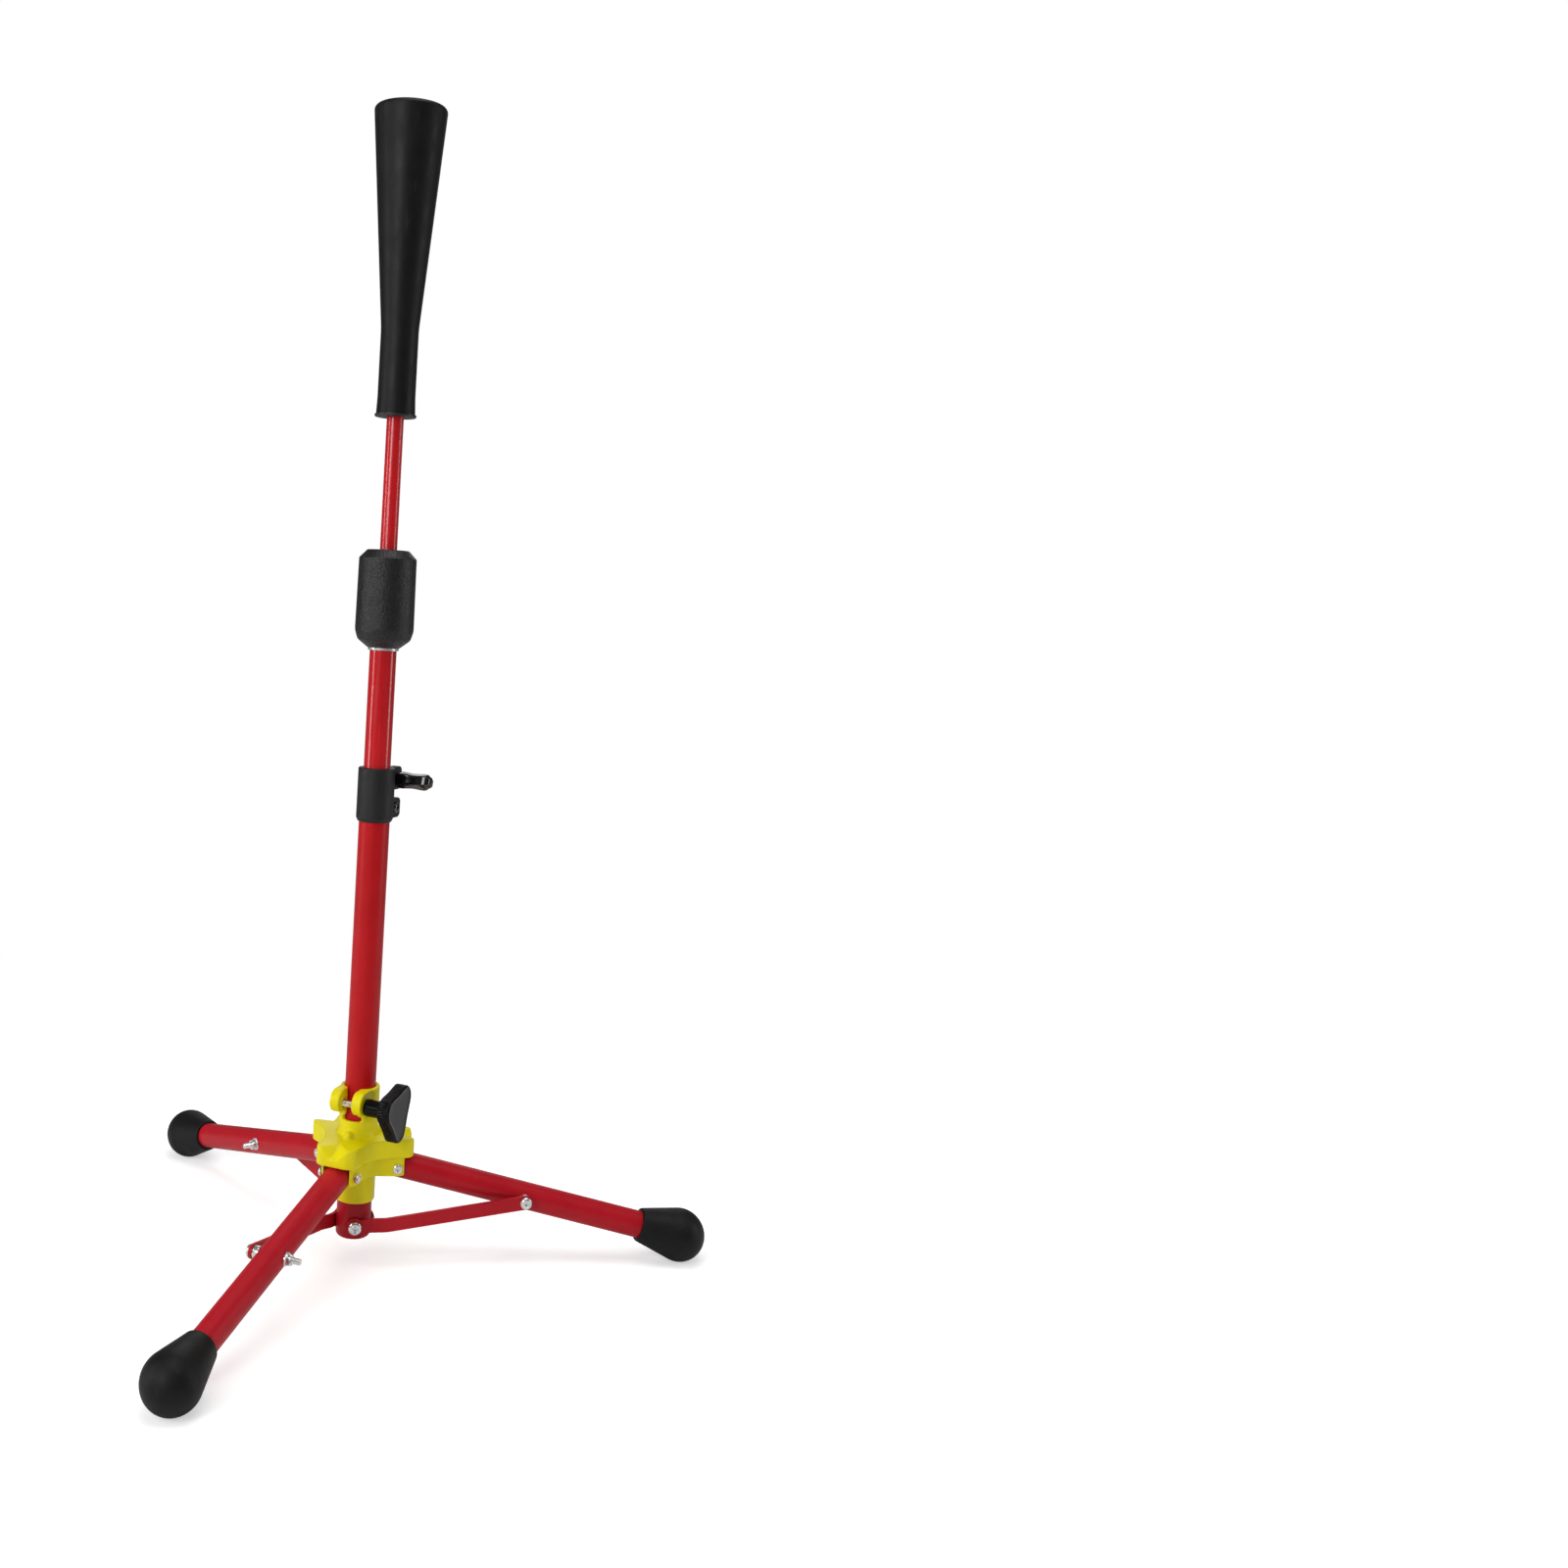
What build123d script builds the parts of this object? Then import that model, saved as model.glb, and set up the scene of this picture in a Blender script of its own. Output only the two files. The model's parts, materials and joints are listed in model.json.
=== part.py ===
from build123d import *

import os
from math import acos, atan2, cos, degrees, hypot, radians, sin

# An adjustable batting tee, in millimetres.
# The origin is on the axis of the post at the floor, +Z runs up the post and +X towards the right leg.
# A post of three telescoping tubes stands in a folding tripod. A rubber cone on top holds the ball.
# The hub slides up the lower tube, and the struts then swing the legs down beside it.
# Every leg piece is drawn on the leg that points along +X, and turned about +Z into its place.

# Post
LOWER_TUBE_R = 12.7
LOWER_TUBE_WALL = 1.0
LOWER_TUBE_TOP = 396.0
MIDDLE_TUBE_R = 11.0
MIDDLE_TUBE_WALL = 1.2
MIDDLE_TUBE_BOTTOM = 220.0
MIDDLE_TUBE_TOP = 582.0
MIDDLE_TUBE_RISE = 125.0
UPPER_TUBE_R = 7.0
UPPER_TUBE_WALL = 1.0
UPPER_TUBE_BOTTOM = 440.0
UPPER_TUBE_RISE = 60.0
RUNNING_FIT = 0.05
END_GAP = 0.5

# Grip
GRIP_R = 24.0
GRIP_TOP_R = 17.0
GRIP_BOTTOM_R = 12.6
GRIP_BOTTOM = 508.0
GRIP_TOP = 587.5
END_RING_HEIGHT = 2.0

# Ball cone
CONE_BOTTOM = 695.0
CONE_TOP = 943.0
CONE_NECK_TOP = 766.0
CONE_NECK_R = 15.4
CONE_TOP_R = 30.0
CONE_MOUTH_R = 24.5
CONE_FLOOR = 750.0
CONE_FLOOR_R = 9.0
CONE_FLOOR_THICKNESS = 8.0
CONE_LIP_ROUND = 3.6
CONE_FLANGE_R = 17.0
CONE_FLANGE_THICKNESS = 2.0
CONE_BUSH_R = 11.0

# Collar clamp at the top of the lower tube
COLLAR_BOTTOM = 366.0
COLLAR_TOP = 410.0
COLLAR_R = 15.2
COLLAR_SPLIT_ANGLE = 56.0
COLLAR_SPLIT = 3.0
COLLAR_LUG_R = 29.0
COLLAR_LUG_HALF_THICKNESS = 8.0
COLLAR_SCREW_OFFSET = 20.0
COLLAR_SCREW_Z = 399.5
COLLAR_FIXING_Z = 376.0
COLLAR_UPPER_LUG = (391.0, 410.0)
COLLAR_LOWER_LUG = (367.5, 384.0)
WING_KNOB_START = 8.6
WING_KNOB_END = 40.0
# Each section: share of the length, width, height
WING_KNOB_SECTIONS = ((0, 10, 11), (0.15, 12.5, 14), (0.5, 11, 12.8), (0.86, 12.5, 13.6), (1, 8, 8.5))

# Hub that slides on the lower tube
HUB_BOTTOM = 53.0
HUB_SLOT_BOTTOM = 121.0
HUB_SLOT_TOP = 125.0
HUB_TOP = 148.0
HUB_R = 16.25
HUB_SPLIT_ANGLE = 240.0
HUB_SPLIT = 11.0
HUB_SLOT_HALF_ANGLE = 33.0
EAR_THICKNESS = 8.5
EAR_R = 9.5
EAR_OFFSET = 19.6
EAR_CENTRE_Z = 138.5
HUB_SCREW_OFFSET = 18.2
HUB_SCREW_Z = 136.0
BRACKET_HALF_WIDTH = 15.0
BRACKET_BOTTOM = 76.0
BRACKET_END = 40.5
BRACKET_HOLLOW_R = 16.0
CHANNEL_HALF_WIDTH = 11.4
CHANNEL_START = 20.5
CHANNEL_TOP = 94.2
PLATE_HALF_WIDTH = 17.4
PLATE_RIM_BOTTOM = 92.0
PLATE_END = 46.0
PLATE_HOLLOW_R = 45.0
LOBE_TIP_Z = 98.5
LOBE_ROOT_Z = 107.5
LOBE_R = 45.0
FLARE_TOP = 112.0
FLARE_WIDTH = 4.5
BOSS_OFFSET = 17.8
BOSS_R = 4.0
BOSS_TOP = 113.0

# Clamp knob
KNOB_TIP_R = 24.9
KNOB_LOBE_R = 11.0
KNOB_THICKNESS = 10.5
KNOB_RIM = 2.6
KNOB_DISH_DEPTH = 0.4
KNOB_STEM_R = 7.0
KNOB_STEM_LENGTH = 20.0
KNOB_LOBE_ANGLES = (100.0, 220.0, 340.0)

# Base cup that closes the lower tube
CUP_BOTTOM = 22.4
CUP_TOP = 52.7
CUP_SOLID_TOP = 42.0
CUP_R = 14.3
CUP_FLAT_OFFSET = 13.0
CUP_ROUND = 3.5

# Tripod
LEG_ANGLES = {"right": 0.0, "rear": 120.0, "front": 240.0}
LEG_R = 11.0
LEG_WALL = 1.2
LEG_END_START = -2.0
LEG_TUBE_PAST_BALL = 3.0
LEG_PLUG_LENGTH = 26.0
HINGE_RADIUS = 32.5
HINGE_Z = 82.5
HINGE_HEAD_R = 4.25
FOOT_RADIUS = 278.0
FOOT_CENTRE_Z = 21.5
FOOT_BALL_R = 21.8
FOOT_MOUTH_R = 13.4
FOOT_MOUTH_DISTANCE = 37.0
STRUT_BOLT_DISTANCE = 111.2
STRUT_PIVOT_Z = 33.3
STRUT_KINK = (30.0, 37.4)
STRUT_WIDTH = 11.2
STRUT_EYE_R = 7.5
STRUT_THICKNESS = 2.5
STRUT_INNER_OFFSET = 13.3
STRUT_STEP = 3.0
STRUT_STEP_START = 14.0
STRUT_STEP_END = 25.0
STRUT_SIDE_GAP = 0.2
SPACER_R = 5.0
STRUT_BOLT_TAIL = 8.0

# Hardware
BOLT_R = 2.5
CLAMP_SCREW_R = 3.0
CUP_SCREW_HEAD_R = 5.5
STRUT_BOLT_HEAD_R = 5.0
HEAD_HEIGHT = 2.8
NUT_HEIGHT = 4.0
M5_NUT_R = 4.6
M6_NUT_R = 5.7

# The leg's slope and length follow from its hinge and its foot.
LEG_SLOPE = degrees(atan2(HINGE_Z - FOOT_CENTRE_Z, FOOT_RADIUS - HINGE_RADIUS))
LEG_LENGTH = hypot(HINGE_Z - FOOT_CENTRE_Z, FOOT_RADIUS - HINGE_RADIUS)
STRUT_BOLT_RADIUS = HINGE_RADIUS + STRUT_BOLT_DISTANCE * cos(radians(LEG_SLOPE))
STRUT_BOLT_Z = HINGE_Z - STRUT_BOLT_DISTANCE * sin(radians(LEG_SLOPE))

UPRIGHT = (Align.CENTER, Align.CENTER, Align.MIN)
LEG_PLACE = Pos(HINGE_RADIUS, 0, HINGE_Z) * Rot(0, 90 + LEG_SLOPE, 0)
TOWARDS_PLUS_Y = Rot(-90, 0, 0)
TOWARDS_MINUS_Y = Rot(90, 0, 0)


# Shared shapes

def rod(radius, low, high):
    """A solid cylinder about +Z between two heights."""
    return Pos(0, 0, low) * Cylinder(radius, high - low, align=UPRIGHT)


def tube(outer, inner, low, high):
    """A hollow cylinder about +Z between two heights."""
    return rod(outer, low, high) - rod(inner, low, high)


def block(x_low, x_high, y_low, y_high, z_low, z_high):
    """A box given by its lowest and highest corner."""
    size = (x_high - x_low, y_high - y_low, z_high - z_low)
    middle = ((x_low + x_high) / 2, (y_low + y_high) / 2, (z_low + z_high) / 2)
    return Pos(*middle) * Box(*size)


def turned(outline):
    """A solid of revolution about +Z of a closed outline of (radius, height) points."""
    face = make_face(Polyline(*outline, close=True))
    return revolve(Plane.XZ * face, Axis.Z)


def cross_recess(radius, depth):
    """The driving recess of a cross-head screw, cut down from z = 0."""
    long_side = radius * 1.25
    short_side = radius * 0.3
    bars = Box(long_side, short_side, depth) + Box(short_side, long_side, depth)
    return Pos(0, 0, -depth / 2) * bars


def pan_head(radius, height):
    """A domed screw head that stands on z = 0, with a cross recess in its top."""
    head = Cylinder(radius, height, align=UPRIGHT)
    head = fillet(head.edges().group_by(Axis.Z)[-1], height * 0.7)
    return head - Pos(0, 0, height) * cross_recess(radius, height * 0.5)


def hex_nut(outer_radius, height, bore):
    """A hexagonal nut that stands on z = 0."""
    nut = extrude(RegularPolygon(outer_radius, 6), height)
    return nut - Cylinder(bore, 3 * height)


# Post

def lower_tube():
    return tube(LOWER_TUBE_R, LOWER_TUBE_R - LOWER_TUBE_WALL, CUP_SOLID_TOP, LOWER_TUBE_TOP)


def lower_tube_bush():
    """The sleeve that guides the middle tube and stops its bush at full height."""
    bottom = MIDDLE_TUBE_BOTTOM + MIDDLE_TUBE_RISE + END_GAP
    inner = MIDDLE_TUBE_R + RUNNING_FIT
    return tube(LOWER_TUBE_R - LOWER_TUBE_WALL, inner, bottom, LOWER_TUBE_TOP)


def middle_tube():
    return tube(MIDDLE_TUBE_R, MIDDLE_TUBE_R - MIDDLE_TUBE_WALL, MIDDLE_TUBE_BOTTOM, MIDDLE_TUBE_TOP)


def middle_guide_bush():
    """The flanged plug on the bottom of the middle tube."""
    flange_r = LOWER_TUBE_R - LOWER_TUBE_WALL - RUNNING_FIT
    plug_r = MIDDLE_TUBE_R - MIDDLE_TUBE_WALL
    bush = rod(flange_r, MIDDLE_TUBE_BOTTOM - 8, MIDDLE_TUBE_BOTTOM)
    bush += rod(plug_r, MIDDLE_TUBE_BOTTOM, MIDDLE_TUBE_BOTTOM + 20)
    return bush - rod(plug_r - 2, MIDDLE_TUBE_BOTTOM - 8, MIDDLE_TUBE_BOTTOM + 20)


def friction_bush():
    """The sleeve in the top of the middle tube that grips the upper tube."""
    bottom = UPPER_TUBE_BOTTOM + UPPER_TUBE_RISE + END_GAP
    bush = rod(MIDDLE_TUBE_R - MIDDLE_TUBE_WALL, bottom, MIDDLE_TUBE_TOP)
    bush += rod(MIDDLE_TUBE_R, MIDDLE_TUBE_TOP, MIDDLE_TUBE_TOP + 3)
    return bush - rod(UPPER_TUBE_R + RUNNING_FIT, bottom, MIDDLE_TUBE_TOP + 3)


def grip_sleeve():
    """The padded handle, a barrel with a tapered foot and a chamfered top."""
    grip = turned([
        (0, GRIP_BOTTOM),
        (GRIP_BOTTOM_R, GRIP_BOTTOM),
        (GRIP_R - 2.5, GRIP_BOTTOM + 7),
        (GRIP_R, GRIP_BOTTOM + 14),
        (GRIP_R - 0.5, GRIP_TOP - 6.5),
        (GRIP_TOP_R, GRIP_TOP),
        (0, GRIP_TOP),
    ])
    grip -= rod(MIDDLE_TUBE_R, GRIP_BOTTOM, MIDDLE_TUBE_TOP + 3)
    return grip - rod(UPPER_TUBE_R + 1, MIDDLE_TUBE_TOP, GRIP_TOP)


def grip_end_ring():
    return tube(GRIP_BOTTOM_R, MIDDLE_TUBE_R, GRIP_BOTTOM - END_RING_HEIGHT, GRIP_BOTTOM)


def upper_tube():
    return tube(UPPER_TUBE_R, UPPER_TUBE_R - UPPER_TUBE_WALL, UPPER_TUBE_BOTTOM, CONE_FLOOR - 15)


def upper_tube_stop():
    """The flanged plug on the bottom of the upper tube."""
    flange_r = MIDDLE_TUBE_R - MIDDLE_TUBE_WALL - RUNNING_FIT
    stop = rod(flange_r, UPPER_TUBE_BOTTOM - 8, UPPER_TUBE_BOTTOM)
    return stop + rod(UPPER_TUBE_R - UPPER_TUBE_WALL, UPPER_TUBE_BOTTOM, UPPER_TUBE_BOTTOM + 15)


def cone_bush():
    """The flanged sleeve that seats the cone on the upper tube."""
    bush = rod(CONE_FLANGE_R, CONE_BOTTOM, CONE_BOTTOM + CONE_FLANGE_THICKNESS)
    bush = fillet(bush.edges().group_by(Axis.Z)[0], 0.8)
    bush += rod(CONE_BUSH_R, CONE_BOTTOM + CONE_FLANGE_THICKNESS, CONE_FLOOR - CONE_FLOOR_THICKNESS)
    return bush - rod(UPPER_TUBE_R, CONE_BOTTOM, CONE_FLOOR - 15)


def ball_cone():
    """The hollow rubber cone, with a floor above its neck and a rounded lip."""
    cone = turned([
        (0, CONE_BOTTOM + CONE_FLANGE_THICKNESS),
        (CONE_NECK_R, CONE_BOTTOM + CONE_FLANGE_THICKNESS),
        (CONE_NECK_R, CONE_NECK_TOP),
        (CONE_TOP_R, CONE_TOP),
        (CONE_MOUTH_R, CONE_TOP),
        (CONE_FLOOR_R, CONE_FLOOR),
        (0, CONE_FLOOR),
    ])
    lip = cone.edges().filter_by(GeomType.CIRCLE).group_by(Axis.Z)[-1].sort_by(SortBy.RADIUS)[-1]
    cone = fillet(lip, CONE_LIP_ROUND)
    return cone - rod(CONE_BUSH_R, CONE_BOTTOM, CONE_FLOOR - CONE_FLOOR_THICKNESS)


# Collar clamp, drawn with its split along +X and turned into place

def collar_place():
    return Rot(0, 0, COLLAR_SPLIT_ANGLE)


def collar_lug(heights):
    """A pair of lugs beside the split, rounded at the outer end."""
    low, high = heights
    round_r = 4.0
    half = COLLAR_LUG_HALF_THICKNESS
    lug = block(LOWER_TUBE_R, COLLAR_LUG_R, -half, half, low, high)
    return fillet(lug.edges().filter_by(Axis.Y).group_by(Axis.X)[-1], round_r)


def collar():
    """The split collar that is fixed to the lower tube and clamps the middle tube."""
    body = rod(COLLAR_R, COLLAR_BOTTOM, COLLAR_TOP)
    body = chamfer(body.edges().group_by(Axis.Z)[0], 3.0, 1.4)
    body = fillet(body.edges().group_by(Axis.Z)[-1], 1.0)
    body += collar_lug(COLLAR_UPPER_LUG) + collar_lug(COLLAR_LOWER_LUG)
    body -= rod(LOWER_TUBE_R, COLLAR_BOTTOM, LOWER_TUBE_TOP)
    body -= rod(MIDDLE_TUBE_R + RUNNING_FIT, LOWER_TUBE_TOP, COLLAR_TOP)
    half_split = COLLAR_SPLIT / 2
    body -= block(0, COLLAR_LUG_R + 1, -half_split, half_split, COLLAR_BOTTOM, COLLAR_TOP)
    screw_hole = rod(CLAMP_SCREW_R + RUNNING_FIT, -20, 20)
    body -= Pos(COLLAR_SCREW_OFFSET, 0, COLLAR_SCREW_Z) * TOWARDS_PLUS_Y * screw_hole
    fixing_hole = rod(BOLT_R, -20, 20)
    body -= Pos(COLLAR_SCREW_OFFSET, 0, COLLAR_FIXING_Z) * TOWARDS_PLUS_Y * fixing_hole
    return collar_place() * body


def collar_clamp_screw():
    """The screw that turns with the wing knob; it ends in the nut on the far lug."""
    reach = COLLAR_LUG_HALF_THICKNESS + NUT_HEIGHT + 2
    screw = rod(CLAMP_SCREW_R, -reach, WING_KNOB_START + 10)
    return collar_place() * Pos(COLLAR_SCREW_OFFSET, 0, COLLAR_SCREW_Z) * TOWARDS_MINUS_Y * screw


def collar_clamp_nut():
    nut = hex_nut(M6_NUT_R, NUT_HEIGHT, CLAMP_SCREW_R + RUNNING_FIT)
    place = Pos(COLLAR_SCREW_OFFSET, COLLAR_LUG_HALF_THICKNESS, COLLAR_SCREW_Z)
    return collar_place() * place * TOWARDS_PLUS_Y * nut


def collar_fixing_screw():
    """The fixed screw and nut through the lower lugs."""
    half = COLLAR_LUG_HALF_THICKNESS
    screw = rod(BOLT_R, -half - NUT_HEIGHT - 1, half)
    screw += Pos(0, 0, half) * pan_head(HINGE_HEAD_R, HEAD_HEIGHT)
    screw += Pos(0, 0, -half - NUT_HEIGHT) * hex_nut(M5_NUT_R, NUT_HEIGHT, BOLT_R)
    return collar_place() * Pos(COLLAR_SCREW_OFFSET, 0, COLLAR_FIXING_Z) * TOWARDS_MINUS_Y * screw


def collar_knob():
    """The waisted thumb knob, lofted along the clamp screw."""
    span = WING_KNOB_END - WING_KNOB_START
    sections = Sketch()
    for part_way, width, depth in WING_KNOB_SECTIONS:
        section = RectangleRounded(width, depth, 3.0)
        sections += Pos(0, 0, WING_KNOB_START + part_way * span) * section
    knob = loft(sections)
    knob -= rod(CLAMP_SCREW_R, WING_KNOB_START - 1, WING_KNOB_START + 10)
    return collar_place() * Pos(COLLAR_SCREW_OFFSET, 0, COLLAR_SCREW_Z) * TOWARDS_MINUS_Y * knob


# Hub, with its split along +X and turned into place

def star_outline(reach, half_width, hollow_r):
    """Three rounded arms about the post, with hollow curves of a radius between them."""
    star = Circle(half_width)
    for angle in LEG_ANGLES.values():
        star += Rot(0, 0, angle) * Pos(reach / 2, 0) * Rectangle(reach, 2 * half_width)
    inner_corners = star.vertices().sort_by(SortBy.DISTANCE)[:3]
    star = fillet(inner_corners, hollow_r)
    tips = star.vertices().sort_by(SortBy.DISTANCE)[-6:]
    return fillet(tips, 8.0)


def hub_lobe():
    """The barrel that shapes the top of the arm along +X; its ridge falls away from the post."""
    fall = degrees(atan2(LOBE_ROOT_Z - LOBE_TIP_Z, PLATE_END - HUB_R))
    length = 3 * PLATE_END
    barrel = Pos(-length / 4, 0, -LOBE_R) * Rot(0, 90, 0) * Cylinder(LOBE_R, length)
    return Pos(PLATE_END, 0, LOBE_TIP_Z) * Rot(0, fall, 0) * barrel


def hub_brackets():
    """The star plate with its barrel-topped arms, over side walls with a channel for each leg."""
    walls = extrude(Pos(0, 0, BRACKET_BOTTOM) * star_outline(BRACKET_END, BRACKET_HALF_WIDTH, BRACKET_HOLLOW_R),
                    CHANNEL_TOP - BRACKET_BOTTOM)
    plate = extrude(Pos(0, 0, PLATE_RIM_BOTTOM) * star_outline(PLATE_END, PLATE_HALF_WIDTH, PLATE_HOLLOW_R),
                    LOBE_ROOT_Z - PLATE_RIM_BOTTOM)
    lobes = [Rot(0, 0, angle) * hub_lobe() for angle in LEG_ANGLES.values()]
    body = walls + (plate & (lobes[0] + lobes[1] + lobes[2]))
    for angle in LEG_ANGLES.values():
        half = CHANNEL_HALF_WIDTH
        channel = block(CHANNEL_START, BRACKET_END + 0.1, -half, half, BRACKET_BOTTOM - 5, CHANNEL_TOP)
        body -= Rot(0, 0, angle) * channel
    return body


def hub_boss():
    """The round-topped boss beside the clamp band, over the arm along +X."""
    boss = rod(BOSS_R, CHANNEL_TOP + 1, BOSS_TOP - BOSS_R) + Pos(0, 0, BOSS_TOP - BOSS_R) * Sphere(BOSS_R)
    return Pos(BOSS_OFFSET, 0, 0) * boss


def hub_ears():
    """The two ears of the hub's clamp, on either side of its split along +X."""
    half = HUB_SPLIT / 2 + EAR_THICKNESS
    ear = Pos(EAR_OFFSET, 0, EAR_CENTRE_Z) * TOWARDS_PLUS_Y * rod(EAR_R, -half, half)
    root = block(0, EAR_OFFSET, -half, half, EAR_CENTRE_Z - EAR_R, EAR_CENTRE_Z + EAR_R)
    return ear + root


def hub_relief_slot():
    """The slot that lets the clamp band close, over an arc below the ears."""
    ring = tube(HUB_R + 5, LOWER_TUBE_R - 1, HUB_SLOT_BOTTOM, HUB_SLOT_TOP)
    reach = 60.0
    corner = (reach * cos(radians(HUB_SLOT_HALF_ANGLE)), reach * sin(radians(HUB_SLOT_HALF_ANGLE)))
    wedge = make_face(Polyline((0, 0), (corner[0], -corner[1]), corner, close=True))
    return ring & extrude(Pos(0, 0, HUB_SLOT_BOTTOM - 1) * wedge, HUB_SLOT_TOP - HUB_SLOT_BOTTOM + 2)


def hub_clamp_cuts():
    """What is cut from the clamp band: its split, relief slot, screw hole and nut pocket."""
    half_split = HUB_SPLIT / 2
    cuts = block(0, 50, -half_split, half_split, HUB_SLOT_TOP - 2, HUB_TOP + 1) + hub_relief_slot()
    cross = rod(CLAMP_SCREW_R + RUNNING_FIT, -20, 20)
    cross += Pos(0, 0, half_split + EAR_THICKNESS - NUT_HEIGHT + 1) * hex_nut(M6_NUT_R, NUT_HEIGHT, 1)
    return cuts + Pos(HUB_SCREW_OFFSET, 0, HUB_SCREW_Z) * TOWARDS_MINUS_Y * cross


def hub():
    """The moulded hub, one piece with its brackets and clamp band."""
    split_place = Rot(0, 0, HUB_SPLIT_ANGLE)
    body = rod(HUB_R, HUB_BOTTOM, HUB_TOP) + hub_brackets() + split_place * hub_ears()
    flare_height = FLARE_TOP - CHANNEL_TOP - 1
    body += Pos(0, 0, CHANNEL_TOP + 1) * Cone(HUB_R + FLARE_WIDTH, HUB_R, flare_height, align=UPRIGHT)
    for angle in LEG_ANGLES.values():
        body += Rot(0, 0, angle) * hub_boss()
    body -= rod(LOWER_TUBE_R + RUNNING_FIT, HUB_BOTTOM - 1, HUB_TOP + 1)
    body -= split_place * hub_clamp_cuts()
    for angle in LEG_ANGLES.values():
        hinge_hole = Pos(HINGE_RADIUS, 0, HINGE_Z) * TOWARDS_PLUS_Y * rod(BOLT_R, -20, 20)
        body -= Rot(0, 0, angle) * hinge_hole
    return body


def hub_screw_place():
    """The frame of the hub's clamp screw, whose +Z points from the nut to the knob."""
    return Rot(0, 0, HUB_SPLIT_ANGLE) * Pos(HUB_SCREW_OFFSET, 0, HUB_SCREW_Z) * TOWARDS_PLUS_Y


def hub_clamp_screw():
    """The threaded rod moulded into the knob."""
    ear_face = HUB_SPLIT / 2 + EAR_THICKNESS
    screw = rod(CLAMP_SCREW_R, -ear_face - 3, ear_face + KNOB_STEM_LENGTH)
    return hub_screw_place() * screw


def hub_clamp_nut():
    """The nut held in the pocket of the far ear."""
    ear_face = HUB_SPLIT / 2 + EAR_THICKNESS
    nut = hex_nut(M6_NUT_R, NUT_HEIGHT, CLAMP_SCREW_R + RUNNING_FIT)
    return hub_screw_place() * Pos(0, 0, -ear_face - 1) * nut


def knob_outline():
    """A triangle with rounded lobes and slightly hollow sides."""
    lobe_distance = KNOB_TIP_R - KNOB_LOBE_R
    lobes = Sketch()
    for turn in KNOB_LOBE_ANGLES:
        lobes += Rot(0, 0, turn) * Pos(lobe_distance, 0) * Circle(KNOB_LOBE_R)
    outline = make_hull(lobes.edges())
    side_distance = lobe_distance * 0.5 + KNOB_LOBE_R
    hollow_r = 60.0
    hollow_depth = 0.5
    for turn in KNOB_LOBE_ANGLES:
        outline -= Rot(0, 0, turn + 60) * Pos(side_distance - hollow_depth + hollow_r, 0) * Circle(hollow_r)
    return outline


def hub_knob():
    """The three-lobed knob, with a raised rim on its face and a round stem."""
    ear_face = HUB_SPLIT / 2 + EAR_THICKNESS + 0.3
    head_start = ear_face + KNOB_STEM_LENGTH
    head = extrude(Pos(0, 0, head_start) * knob_outline(), KNOB_THICKNESS)
    head = fillet(head.edges().group_by(Axis.Z)[-1], 1.2)
    dish = offset(knob_outline(), -KNOB_RIM)
    head -= extrude(Pos(0, 0, head_start + KNOB_THICKNESS - KNOB_DISH_DEPTH) * dish, 5)
    knob = head + rod(KNOB_STEM_R, ear_face, head_start + 1)
    return hub_screw_place() * (knob - rod(CLAMP_SCREW_R, ear_face - 1, ear_face - 0.3 + KNOB_STEM_LENGTH))


# Base

def base_cup():
    """The cup on the bottom of the lower tube, with a flat for each strut."""
    cup = rod(CUP_R, CUP_BOTTOM, CUP_TOP)
    cup = fillet(cup.edges().group_by(Axis.Z)[0], CUP_ROUND)
    for angle in LEG_ANGLES.values():
        cup -= Rot(0, 0, angle) * block(-20, 20, -20, -CUP_FLAT_OFFSET, CUP_BOTTOM - 1, CUP_TOP + 1)
    return cup - rod(LOWER_TUBE_R, CUP_SOLID_TOP, CUP_TOP + 1)


# Leg pieces, drawn about the leg's axis with the hinge at z = 0, then laid along the leg

def leg_tube():
    end = LEG_LENGTH + LEG_TUBE_PAST_BALL
    leg = tube(LEG_R, LEG_R - LEG_WALL, LEG_END_START, end)
    leg -= TOWARDS_PLUS_Y * rod(BOLT_R + RUNNING_FIT, -20, 20)
    leg -= Pos(0, 0, STRUT_BOLT_DISTANCE) * TOWARDS_PLUS_Y * rod(BOLT_R, -20, 20)
    return LEG_PLACE * leg


def leg_end_plug():
    """The plug in the leg's inner end, with a nose that is round about the hinge."""
    bore_r = LEG_R - LEG_WALL
    plug = rod(bore_r, LEG_END_START, LEG_PLUG_LENGTH + LEG_END_START)
    nose = rod(LEG_R, -LEG_R, LEG_END_START) & TOWARDS_PLUS_Y * rod(LEG_R, -20, 20)
    plug += nose
    return LEG_PLACE * (plug - TOWARDS_PLUS_Y * rod(BOLT_R + RUNNING_FIT, -20, 20))


def foot_outline():
    """Half of the pear-shaped foot: a ball that runs into a straight taper."""
    to_mouth = hypot(FOOT_MOUTH_DISTANCE, FOOT_MOUTH_R)
    mouth_angle = degrees(atan2(FOOT_MOUTH_R, -FOOT_MOUTH_DISTANCE))
    touch_angle = mouth_angle - degrees(acos(FOOT_BALL_R / to_mouth))
    touch = (FOOT_BALL_R * sin(radians(touch_angle)), LEG_LENGTH + FOOT_BALL_R * cos(radians(touch_angle)))
    half_angle = touch_angle / 2
    halfway = (FOOT_BALL_R * sin(radians(half_angle)), LEG_LENGTH + FOOT_BALL_R * cos(radians(half_angle)))
    mouth_z = LEG_LENGTH - FOOT_MOUTH_DISTANCE
    tip = (0, LEG_LENGTH + FOOT_BALL_R)
    ball = ThreePointArc(tip, halfway, touch)
    sides = Polyline(touch, (FOOT_MOUTH_R, mouth_z), (0, mouth_z), tip)
    return make_face([ball, *sides.edges()])


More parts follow.
